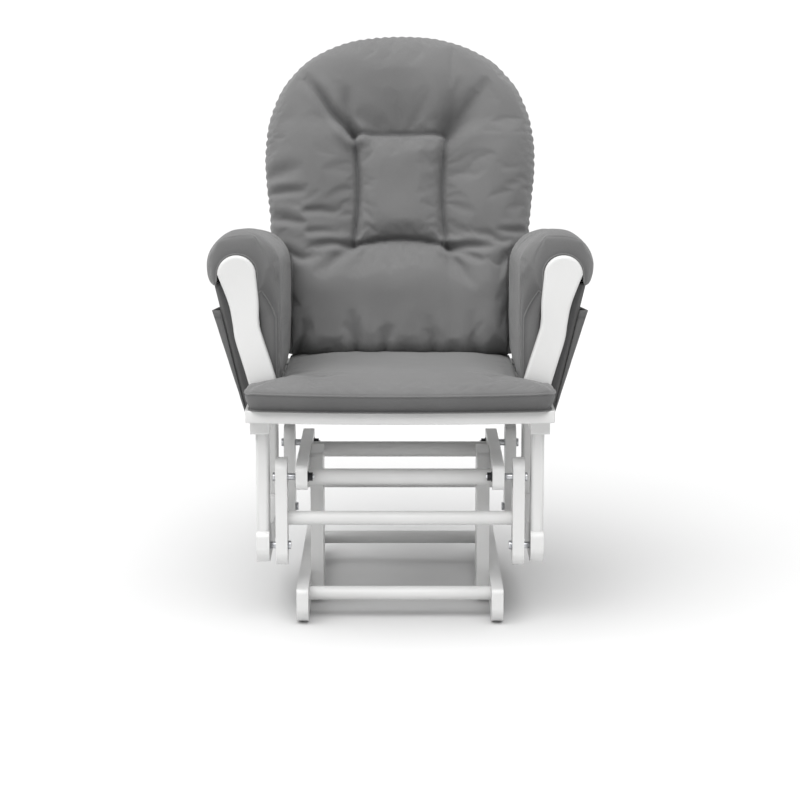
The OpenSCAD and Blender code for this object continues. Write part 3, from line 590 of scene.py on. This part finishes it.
def back_cushion():
    x, v = back_grid(86, 62, 121)
    rows, columns = x.shape
    rim = rim_of(rows, columns)
    plane = np.stack([x, v], axis=-1)
    outline = np.array([plane[place] for place in rim + rim[:1]])
    q, share = line_distance(plane, outline)

    below = smooth(v, 0.205, 0.120)
    roll = 0.088 - 0.044 * smooth(v, 0.115, 0.050) * smooth(np.abs(x), 0.205, 0.150)
    front = SEAM_W + (CREST_W + 0.006 * below - SEAM_W) * rounded(q, roll)
    front += 0.010 * below * (1 - (x / BACK_FOOT_HALF) ** 2)
    d = panel_distance(x, v)
    above = smooth(v, PANEL_TOP - 0.01, PANEL_TOP + 0.03)
    under = smooth(v, PANEL_LOW + 0.02, PANEL_LOW - 0.01)
    right = smooth(x, 0.060, 0.100)
    dip = 0.030 + 0.008 * above - 0.008 * under + 0.008 * right
    reach = 0.027 + 0.022 * above - 0.006 * under + 0.020 * right
    front -= dip * np.exp(-np.maximum(d, 0) / reach)
    front += 0.018 * rounded(-d, 0.036)
    front -= 0.0055 * np.exp(-((d / 0.0045) ** 2)) * (1 - 0.5 * above)
    # Painted shade along the sunken panel's edge, fainter above it and on its right
    painted_shade = 0.75 * np.exp(-((d / 0.0048) ** 2)) * (1 - 0.8 * above) * (1 - 0.4 * right)
    for points, depth, half_width in BACK_CREASES:
        gap, at = line_distance(plane, along(points, 24))
        fade = np.sin(np.clip(1 - at, 0, 1) * math.pi / 2) ** 0.8
        front -= depth * fade * np.exp(-((gap / half_width) ** 2))
        front += 0.35 * depth * fade * np.exp(-(((gap - 2.1 * half_width) / (1.2 * half_width)) ** 2))
        # Painted shade along each crease, darker for deeper creases
        painted_shade += 0.35 * fade * np.exp(-((gap / (0.6 * half_width)) ** 2)) * (depth / 0.013)
    inland = smooth(q, 0.006, 0.05)
    front += 0.0022 * inland * wobble(x, v, 0.105, 4) + 0.0008 * inland * wobble(x, v, 0.045, 9)

    rear = SEAM_W - (SEAM_W - 0.0012) * rounded(q, 0.060)
    rear += 0.002 * (1 - inland)
    # The rim's gathered stitches pull it in between them
    stitch = np.abs(np.sin(math.pi * share * round(RIM_LENGTH / STITCH_PITCH)))
    uneven = 0.8 + 0.9 * wobble(x, v, 0.06, 14)
    pull = 0.0052 * uneven * (1 - stitch) * np.exp(-q / 0.0060) * smooth(v, 0.20, 0.26)
    centre_v = np.minimum(v, BACK_WIDEST)
    out = np.stack([x, v - centre_v], axis=-1)
    out /= np.maximum(np.linalg.norm(out, axis=-1, keepdims=True), 1e-6)
    x = x - pull * out[..., 0]
    v = v - pull * out[..., 1]

    def place(w):
        # The lower part sits level on the seat instead of square to the leaning back
        level = smooth(v, 0.17, 0.05)
        return pressed_by_arms(on_back(x, v - math.tan(back_lean) * (w - SEAM_W) * level, w))

    outer = place(np.maximum(front, 0.012))
    inner = place(rear)
    piece = pad("back_cushion_cover", outer, inner, painted_shade.clip(0, 1))
    face_outwards(piece)
    hold = np.exp(-((d / 0.006) ** 2)) + np.exp(-((q / 0.006) ** 2))
    relax_cover(piece, hold, pressure=1.6, most=0.006, slack=0.020)
    points = pressed_by_arms(coordinates(piece))
    points[:, 2] = np.maximum(points[:, 2], seat_surface(points[:, 0], points[:, 1]) + SOFT_GAP)
    set_coordinates(piece, points)
    subdivide(piece)
    return piece


# ---- Seat cushion ----

# Bow of the front edge, corner radius, height of the boxed wall, and how far its foot is drawn in
SEAT_BOW = 0.016
SEAT_EAR_R = 0.030
SEAT_BOXING = 0.0285
SEAT_UNDERCUT = 0.0100
# Height of the dome above the plain seat cushion
SEAT_CREST = 0.0040
PIPING_R = 0.0017


def seat_half_width(y, front):
    """Half the width at a place behind the front edge: ears, a notch round the arm support, and the body."""
    ear = seat_high_corner[0] - 0.001
    body = arm_low_corner[0] - SEAT_SIDE_GAP
    near_front = np.clip(1 - (y - front) / SEAT_EAR_R, 0, 1)
    half = ear - SEAT_EAR_R * (1 - np.sqrt(1 - near_front**2))
    notch = support_low_corner[1] - SOFT_GAP
    ear_round = 0.012
    near_notch = np.clip(1 - (notch - y) / ear_round, 0, 1)
    half = half - ear_round * (1 - np.sqrt(1 - near_notch**2))
    inner = support_low_corner[0] - 0.0016
    clear = support_high_corner[1]
    behind = inner + (body - inner) * smooth(y, clear + 0.0008, clear + 0.008)
    half = np.where(y > notch, behind, half)
    rear = seat_high_corner[1]
    near_rear = np.clip(1 - (rear - y) / 0.03, 0, 1)
    return half - 0.03 * (1 - np.sqrt(1 - near_rear**2))


def seat_height(q, inland, y):
    """Height of the seat's top, which falls to the rear: q in from any edge, inland from front and sides."""
    behind = np.maximum(y - support_low_corner[1], 0)
    seam = seat_low_corner[2] + SEAT_BOXING - 0.45 * math.tan(SEAT_FALL) * behind
    crest = seat_high_corner[2] + SEAT_CREST - math.tan(SEAT_FALL) * behind
    return seam + (crest - seam) * (0.40 * rounded(q, 0.016) + 0.60 * smooth(inland, -0.012, 0.100))


def seat_surface(x, y):
    """Height of the seat's top where the back cushion rests on it."""
    side = np.maximum(arm_low_corner[0] - SEAT_SIDE_GAP - np.abs(x), 0)
    return seat_height(np.minimum(side, np.maximum(seat_high_corner[1] - y, 0)), side, y)


def seat_cushion():
    front = seat_low_corner[1]
    rear = seat_high_corner[1]
    notch = support_low_corner[1] - SOFT_GAP
    columns = 111
    ys = np.concatenate([
        front + SEAT_EAR_R * (1 - np.cos(np.linspace(0, math.pi / 2, 12))),
        np.linspace(front + SEAT_EAR_R, notch - 0.012, 9)[1:],
        notch - 0.012 * np.cos(np.linspace(0, math.pi / 2, 6))[1:],
        np.linspace(notch + 0.0008, support_high_corner[1] + 0.008, 8),
        np.linspace(support_high_corner[1] + 0.008, rear - 0.03, 70)[1:],
        rear - 0.03 + 0.03 * np.sin(np.linspace(0, math.pi / 2, 10))[1:],
    ])
    s = np.linspace(-1, 1, columns)
    s = np.sign(s) * (1 - (1 - np.abs(s)) ** 1.15)
    half = seat_half_width(ys, front)
    x = half[:, None] * s[None, :]
    y = np.repeat(ys[:, None], columns, axis=1)
    bow = SEAT_BOW * (x / seat_high_corner[0]) ** 2
    y = y + bow * smooth(y, notch - 0.004, front + 0.01)
    plane = np.stack([x, y], axis=-1)
    rim = rim_of(*x.shape)
    outline = np.array([plane[place] for place in rim + rim[:1]])
    q, _ = line_distance(plane, outline)
    low = seat_low_corner[2]
    side = seat_half_width(y, front) - np.abs(x)
    top = seat_height(q, np.minimum(side, y - front), y)
    inland = smooth(q, 0.004, 0.05)
    top += inland * (0.0011 * wobble(x, y, 0.16, 21) + 0.0004 * wobble(x, y, 0.06, 5))
    for points, depth, half_width in [
        ([(-0.250, front + 0.030), (-0.215, front + 0.050), (-0.160, front + 0.062)], 0.0030, 0.008),
        ([(0.252, front + 0.034), (0.222, front + 0.048), (0.180, front + 0.052)], 0.0024, 0.008),
        ([(-0.196, rear - 0.10), (-0.150, rear - 0.09), (-0.110, rear - 0.10)], 0.0016, 0.010),
    ]:
        gap, at = line_distance(plane, along(points, 18))
        top -= depth * np.sin((1 - at) * math.pi / 2) * np.exp(-((gap / half_width) ** 2))
    outer = np.stack([x, y, top], axis=-1)
    inner = np.stack([x, y, np.full_like(x, low + 0.0004)], axis=-1)
    centre = np.array([0, (front + rear) / 2])
    rim_points = np.array([outer[place] for place in rim])
    ahead = np.roll(rim_points[:, :2], -1, axis=0) - np.roll(rim_points[:, :2], 1, axis=0)
    outward = np.stack([ahead[:, 1], -ahead[:, 0]], axis=1)
    outward /= np.maximum(np.linalg.norm(outward, axis=1, keepdims=True), 1e-9)
    outward *= np.sign(np.sum(outward * (rim_points[:, :2] - centre), axis=1))[:, None]
    wall = []
    levels = (0.93, 0.80, 0.6, 0.4, 0.2, 0.07, 0.0)
    for level in levels:
        ring = rim_points.copy()
        bulge = 0.0022 * math.sin(math.pi * level) - SEAT_UNDERCUT * (1 - level) ** 1.4
        near_support = (np.abs(ring[:, 1] - (notch + 0.010)) < 0.022)
        ring[:, :2] += outward * np.where(near_support, min(bulge, 0), bulge)[:, None]
        ring[:, 2] = low + 0.0004 + (rim_points[:, 2] - low - 0.0004) * level
        wall.append(ring)
    # The boxed wall is darkened with painted shade
    piece = pad("seat_cushion_cover", outer, inner, wall=wall, wall_painted_shade=0.32)
    face_outwards(piece)
    relax_cover(piece, np.exp(-((q / 0.006) ** 2)), pressure=0.8, most=0.0030, slack=0.012)
    subdivide(piece)
    return piece, rim_points


seat, seat_rim = seat_cushion()
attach(seat, "seat")
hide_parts("seat_cushion")

piping = tube("seat_cushion_piping", seat_rim + np.array([0, 0, 0.0002]), PIPING_R, closed=True)
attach(piping, "seat")

back = back_cushion()
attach(back, "seat")
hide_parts("back_cushion")

# ---- Arm cushions ----

# Rounding of the roll's front, the inner side's front edge and the rear end
ARM_FRONT_ROUND = 0.042
ARM_LEG_ROUND = 0.009
ARM_REAR_ROUND = 0.020
ARM_PIPING_R = 0.0015
# The inner side's foot, front and thickness near its top, and the lower edge of the outer lip
ARM_LEG_LOW = 0.408
ARM_LEG_FRONT = -0.140
ARM_LIP_LOW = 0.587
ARM_LEG_OUT = 0.036


def arm_contours(count):
    """Lines of the right arm's padding from the foot of its inner side, over the top, to the outer lip.

    They are its outside, its lining round the armrest board, and its lining round the support's head.
    """
    x_in = arm_low_corner[0]
    x_out = arm_high_corner[0]
    radius = (x_out - x_in) / 2
    middle = x_in + radius
    centre_z = arm_high_corner[2] - radius
    turns = np.linspace(math.pi, 0, 33)
    outer = [(x_in + 0.001, ARM_LEG_LOW), (x_in - 0.0005, 0.52)]
    outer += [(middle + radius * math.cos(a), centre_z + radius * math.sin(a)) for a in turns]
    outer += [(x_out - 0.005, ARM_LIP_LOW)]
    board_in = board_low_corner[0]
    board_out = board_high_corner[0]
    board_top = board_high_corner[2]
    leg = [(x_in + 0.024, ARM_LEG_LOW), (x_in + 0.031, 0.50), (x_in + ARM_LEG_OUT, 0.56)]
    inner = leg + [
        (board_in - 0.0030, board_top - 0.020), (board_in - 0.0015, board_top + 0.0008),
        (board_out + 0.0015, board_top + 0.0008), (support_high_corner[0] + 0.0018, 0.640),
        (x_out - 0.0175, ARM_LIP_LOW),
    ]
    head_r = (support_high_corner[0] - board_in) / 2 + 0.0034
    head_x = support_high_corner[0] + 0.0012 - head_r
    head_z = support_high_corner[2] + 0.0012 - head_r
    front = leg + [(head_x + head_r * math.cos(a), head_z + head_r * math.sin(a)) for a in turns]
    front += [(x_out - 0.0175, ARM_LIP_LOW)]
    return along(outer, count), along(inner, count), along(front, count)


def fall_with_arm(side, flat, y):
    """Places a level (x, height) surface on the falling arm; the foot of the inner side stays level."""
    x, z = flat[..., 0], flat[..., 1]
    return np.stack([side * x, y, z - arm_drop(y) * smooth(z, 0.42, 0.56)], axis=-1)


def arm_cushion(side, name):
    around = 74
    outer_line, inner_line, front_line = arm_contours(around)
    back_y = arm_high_corner[1]
    front_y = support_low_corner[1] + 0.007
    leg_y = mid_y + ARM_LEG_FRONT
    inner_half = np.arange(around) < around / 2
    leg = smooth(outer_line[:, 1], 0.655, 0.550) * inner_half
    leg_rim = np.clip((0.650 - outer_line[:, 1]) / 0.110, 0, 1) * inner_half
    start = front_y + (leg_y - front_y) * leg
    front_round = (ARM_FRONT_ROUND + (ARM_LEG_ROUND - ARM_FRONT_ROUND) * leg)[:, None]
    steps = 1 - np.cos(np.linspace(0, math.pi / 2, 24))
    ys = []
    rear_steps = ARM_REAR_ROUND * np.sin(np.linspace(0, math.pi / 2, 10))
    for k in range(around):
        middle = np.linspace(start[k] + front_round[k, 0], back_y - ARM_REAR_ROUND, 62)
        rounding = start[k] + front_round[k] * steps
        ys.append(np.concatenate([rounding, middle[1:], back_y - ARM_REAR_ROUND + rear_steps[1:]]))
    y = np.array(ys)
    from_front = y - start[:, None]
    from_back = back_y - y
    reach = np.concatenate([[0], np.cumsum(np.linalg.norm(np.diff(outer_line, axis=0), axis=1))])
    from_foot = np.repeat(reach[:, None], y.shape[1], axis=1)
    from_lip = reach[-1] - from_foot
    full = rounded(from_front, front_round) * rounded(from_back, ARM_REAR_ROUND)
    full = full * rounded(from_foot, 0.007) * rounded(from_lip, 0.020)
    behind = smooth(from_front, 0.0015, 0.0045)[..., None]
    lining = front_line[:, None, :] + (inner_line - front_line)[:, None, :] * behind
    inward = smooth(from_front, 0.002, 0.03)
    rim_share = (leg_rim[:, None] * (0.84 - 0.54 * inward) + 0.30 * inward)[..., None]
    seam = lining + rim_share * (outer_line[:, None, :] - lining)
    swell = 1 + 0.03 * wobble(from_foot, y, 0.19, 31 + (side > 0)) * full
    for points, depth, half_width in [
        ([(reach[-1] * 0.86, front_y), (reach[-1] * 0.83, front_y + 0.022)], 0.09, 0.006),
        ([(reach[-1] * 0.93, front_y + 0.02), (reach[-1] * 0.90, front_y + 0.09)], 0.05, 0.010),
        ([(reach[-1] * 0.30, back_y), (reach[-1] * 0.36, back_y - 0.06)], 0.06, 0.012),
    ]:
        gap, at = line_distance(np.stack([from_foot, y], axis=-1), along(points, 12))
        swell = swell - depth * (1 - at) * np.exp(-((gap / half_width) ** 2))
    outer_flat = seam + (outer_line[:, None, :] - seam) * (full * swell)[..., None]
    inner_flat = seam + (lining - seam) * rounded(full, 1.0)[..., None]
    outer, inner = [fall_with_arm(side, flat, y) for flat in (outer_flat, inner_flat)]
    # A thin line of painted shade along the front edge
    piece = pad(name, outer, inner, 0.45 * np.exp(-((from_front / 0.0030) ** 2)))
    face_outwards(piece)
    edge_gap = np.minimum(np.minimum(from_front, from_back), np.minimum(from_foot, from_lip))
    relax_cover(piece, np.exp(-((edge_gap / 0.006) ** 2)), pressure=1.0, most=0.0035, slack=0.018)
    subdivide(piece)
    edge = outer[:, 0, :] + np.array([0, 0.0004, 0])
    return piece, edge


for side, word in ((-1, "left"), (1, "right")):
    arm, edge = arm_cushion(side, f"arm_cushion_cover_{word}")
    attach(arm, "seat")
    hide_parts(f"arm_cushion_{word}")
    cord = tube(f"arm_cushion_piping_{word}", edge[2:-1], ARM_PIPING_R)
    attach(cord, "seat")

# ---- Side panels and pockets ----

# The side panels and pockets use the same cloth darkened to 0.74: painted shade, since they face down and
# away from the light
SHADE_DARKENED_CLOTH = woven_cloth("grey side cloth darkened as painted shade", 0.74)
CLOTH_T = 0.0014
POCKET_MOUTH = 0.0127
# Depth of the mouth's hem, the panel's place behind the support, and the width turned in there
HEM = 0.012
PANEL_FRONT = 0.0016
FLANGE = 0.030
MOUTH_Z = pocket_low_corner[2] + 0.176
PANEL_TOP_Z = ARM_LIP_LOW + 0.006


def panel_x(z):
    """Outer face of the side panel of the right arm at a height."""
    return pocket_low_corner[0] + 0.2315 * (z - pocket_low_corner[2]) + 0.0016


def thin_sheet(name, grid, painted_shade):
    rows, columns = grid.shape[:2]
    vertices = [p for line in grid for p in line]
    faces = grid_faces(rows, columns, lambda i, j: i * columns + j)
    piece = new_piece(name, vertices, faces, np.asarray(painted_shade).ravel(), SHADE_DARKENED_CLOTH)
    solid = piece.modifiers.new("cloth thickness", "SOLIDIFY")
    solid.thickness = CLOTH_T
    solid.offset = 0
    return piece


def side_panel(side, name):
    """Cloth from under the arm's lip down to the seat boards, turned in behind the front support."""
    front = support_high_corner[1] + PANEL_FRONT
    rear = pocket_high_corner[1]
    bend = 0.003
    turn = np.linspace(0, math.pi / 2, 6)
    path = [(-bend - FLANGE, front + 0.001), (-bend - FLANGE / 2, front)]
    path += [(-bend + bend * math.sin(a), front + bend * (1 - math.cos(a))) for a in turn]
    path += [(0, rear)]
    line = along(path, 110)
    low = pocket_low_corner[2]
    share = np.clip((line[:, 1] - front) / (rear - front), 0, 1)
    rows = []
    # Painted shade on the strip turned in behind the support
    painted_shade = np.repeat(0.5 * smooth(line[None, :, 0], -bend, -bend - 0.004), 50, axis=0)
    for level in np.linspace(0, 1, 50):
        z = low + (PANEL_TOP_Z - arm_drop(line[:, 1]) - low) * level
        soft = np.sin(share * math.pi) * math.sin(level * math.pi)
        x = panel_x(z) + line[:, 0] + soft * 0.0008 * wobble(line[:, 1], z, 0.11, 41)
        rows.append(np.stack([side * x, line[:, 1], z], axis=-1))
    return thin_sheet(name, np.array(rows), painted_shade)


def side_pocket(side, name):
    """One strip of cloth: out from the panel at the front, along the side, and back in at the rear."""
    front = support_high_corner[1] - 0.0016
    rear = pocket_high_corner[1] - 0.001
    low = pocket_low_corner[2] + 0.001
    corner = 0.004
    rows = []
    for level in np.linspace(0, 1, 44):
        stand = 0.0018 + POCKET_MOUTH * level
        bend = min(corner, stand * 0.9)
        turn = np.linspace(0, math.pi / 2, 6)
        path = [(0.0006, front), (max(stand - bend, 0.0007), front)]
        path += [(stand - bend + bend * math.sin(a), front + bend * (1 - math.cos(a))) for a in turn[1:]]
        path += [(stand, front + (rear - front) * k / 8) for k in range(1, 8)]
        path += [(stand - bend + bend * math.cos(a), rear - bend + bend * math.sin(a)) for a in turn]
        path += [(0.0006, rear)]
        line = along(path, 96)
        share = (line[:, 1] - front) / (rear - front)
        sag = 0.0016 * np.sin(share * math.pi) * level * (line[:, 0] > 0.5 * stand)
        z = low + (MOUTH_Z - arm_drop(line[:, 1]) - low) * level
        rows.append(np.stack([side * (panel_x(z) + line[:, 0] + sag), line[:, 1], z], axis=-1))
    # The mouth's stitched and turned hem shows as a line of painted shade
    from_mouth = np.linspace(1, 0, 44)[:, None] * np.ones(96) * (MOUTH_Z - low)
    hem = 0.45 * np.exp(-(((from_mouth - HEM) / 0.0016) ** 2))
    return thin_sheet(name, np.array(rows), hem)


for side, word in ((-1, "left"), (1, "right")):
    panel = side_panel(side, f"arm_side_panel_{word}")
    pocket = side_pocket(side, f"arm_side_pocket_{word}")
    for piece in (panel, pocket):
        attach(piece, "seat")
    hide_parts(f"arm_pocket_{word}")

# ---- Floor, light and camera ----


FLOOR_REACH = 150.0
CAMERA_LENS = 96.75
CAMERA_DISTANCE = 3.735
CAMERA_HEIGHT = 1.09
CAMERA_TILT = math.radians(79)


def studio_floor():
    mesh = bpy.data.meshes.new("studio floor")
    reach = FLOOR_REACH
    mesh.from_pydata(
        [(-reach, -reach, 0), (reach, -reach, 0), (reach, reach, 0), (-reach, reach, 0)], [], [(0, 1, 2, 3)]
    )
    s = Shader("pale studio floor")
    s.put(s.ramp(s.noise(0.8, 2), 0.62, 0.65), s.surface.inputs["Base Color"])
    s.set(Roughness=0.7, Specular_IOR_Level=0.1)
    mesh.materials.append(s.material)
    floor = bpy.data.objects.new("studio_floor", mesh)
    bpy.context.scene.collection.objects.link(floor)


def studio():
    scene = bpy.context.scene
    world = bpy.data.worlds.new("studio")
    scene.world = world
    world.use_nodes = True
    background = world.node_tree.nodes["Background"]
    nodes = world.node_tree.nodes
    links = world.node_tree.links
    direction = nodes.new("ShaderNodeSeparateXYZ")
    links.new(nodes.new("ShaderNodeTexCoord").outputs["Generated"], direction.inputs["Vector"])
    sky = nodes.new("ShaderNodeValToRGB")
    links.new(direction.outputs["Z"], sky.inputs["Fac"])
    stops = sky.color_ramp.elements
    stops.new(0.17)
    stops.new(0.32)
    for stop, place, level in zip(stops, (0.0, 0.17, 0.32, 0.95), (1.0, 1.0, 0.20, 0.95)):
        stop.position = place
        stop.color = (level, level, level, 1)
    links.new(sky.outputs["Color"], background.inputs["Color"])
    background.inputs["Strength"].default_value = 1.0
    scene.view_settings.view_transform = "Standard"
    sun = bpy.data.lights.new("overhead", "SUN")
    sun.energy = 3.6
    sun.angle = math.radians(75)
    lamp = bpy.data.objects.new("overhead", sun)
    lamp.rotation_euler = (math.radians(22), math.radians(-11), 0)
    scene.collection.objects.link(lamp)


def photograph_camera():
    data = bpy.data.cameras.new("camera")
    data.lens = CAMERA_LENS
    data.sensor_width = 36
    camera = bpy.data.objects.new("camera", data)
    camera.location = (0, mid_y - CAMERA_DISTANCE, CAMERA_HEIGHT)
    camera.rotation_euler = (CAMERA_TILT, 0, 0)
    bpy.context.scene.collection.objects.link(camera)
    bpy.context.scene.camera = camera


studio_floor()
studio()
photograph_camera()
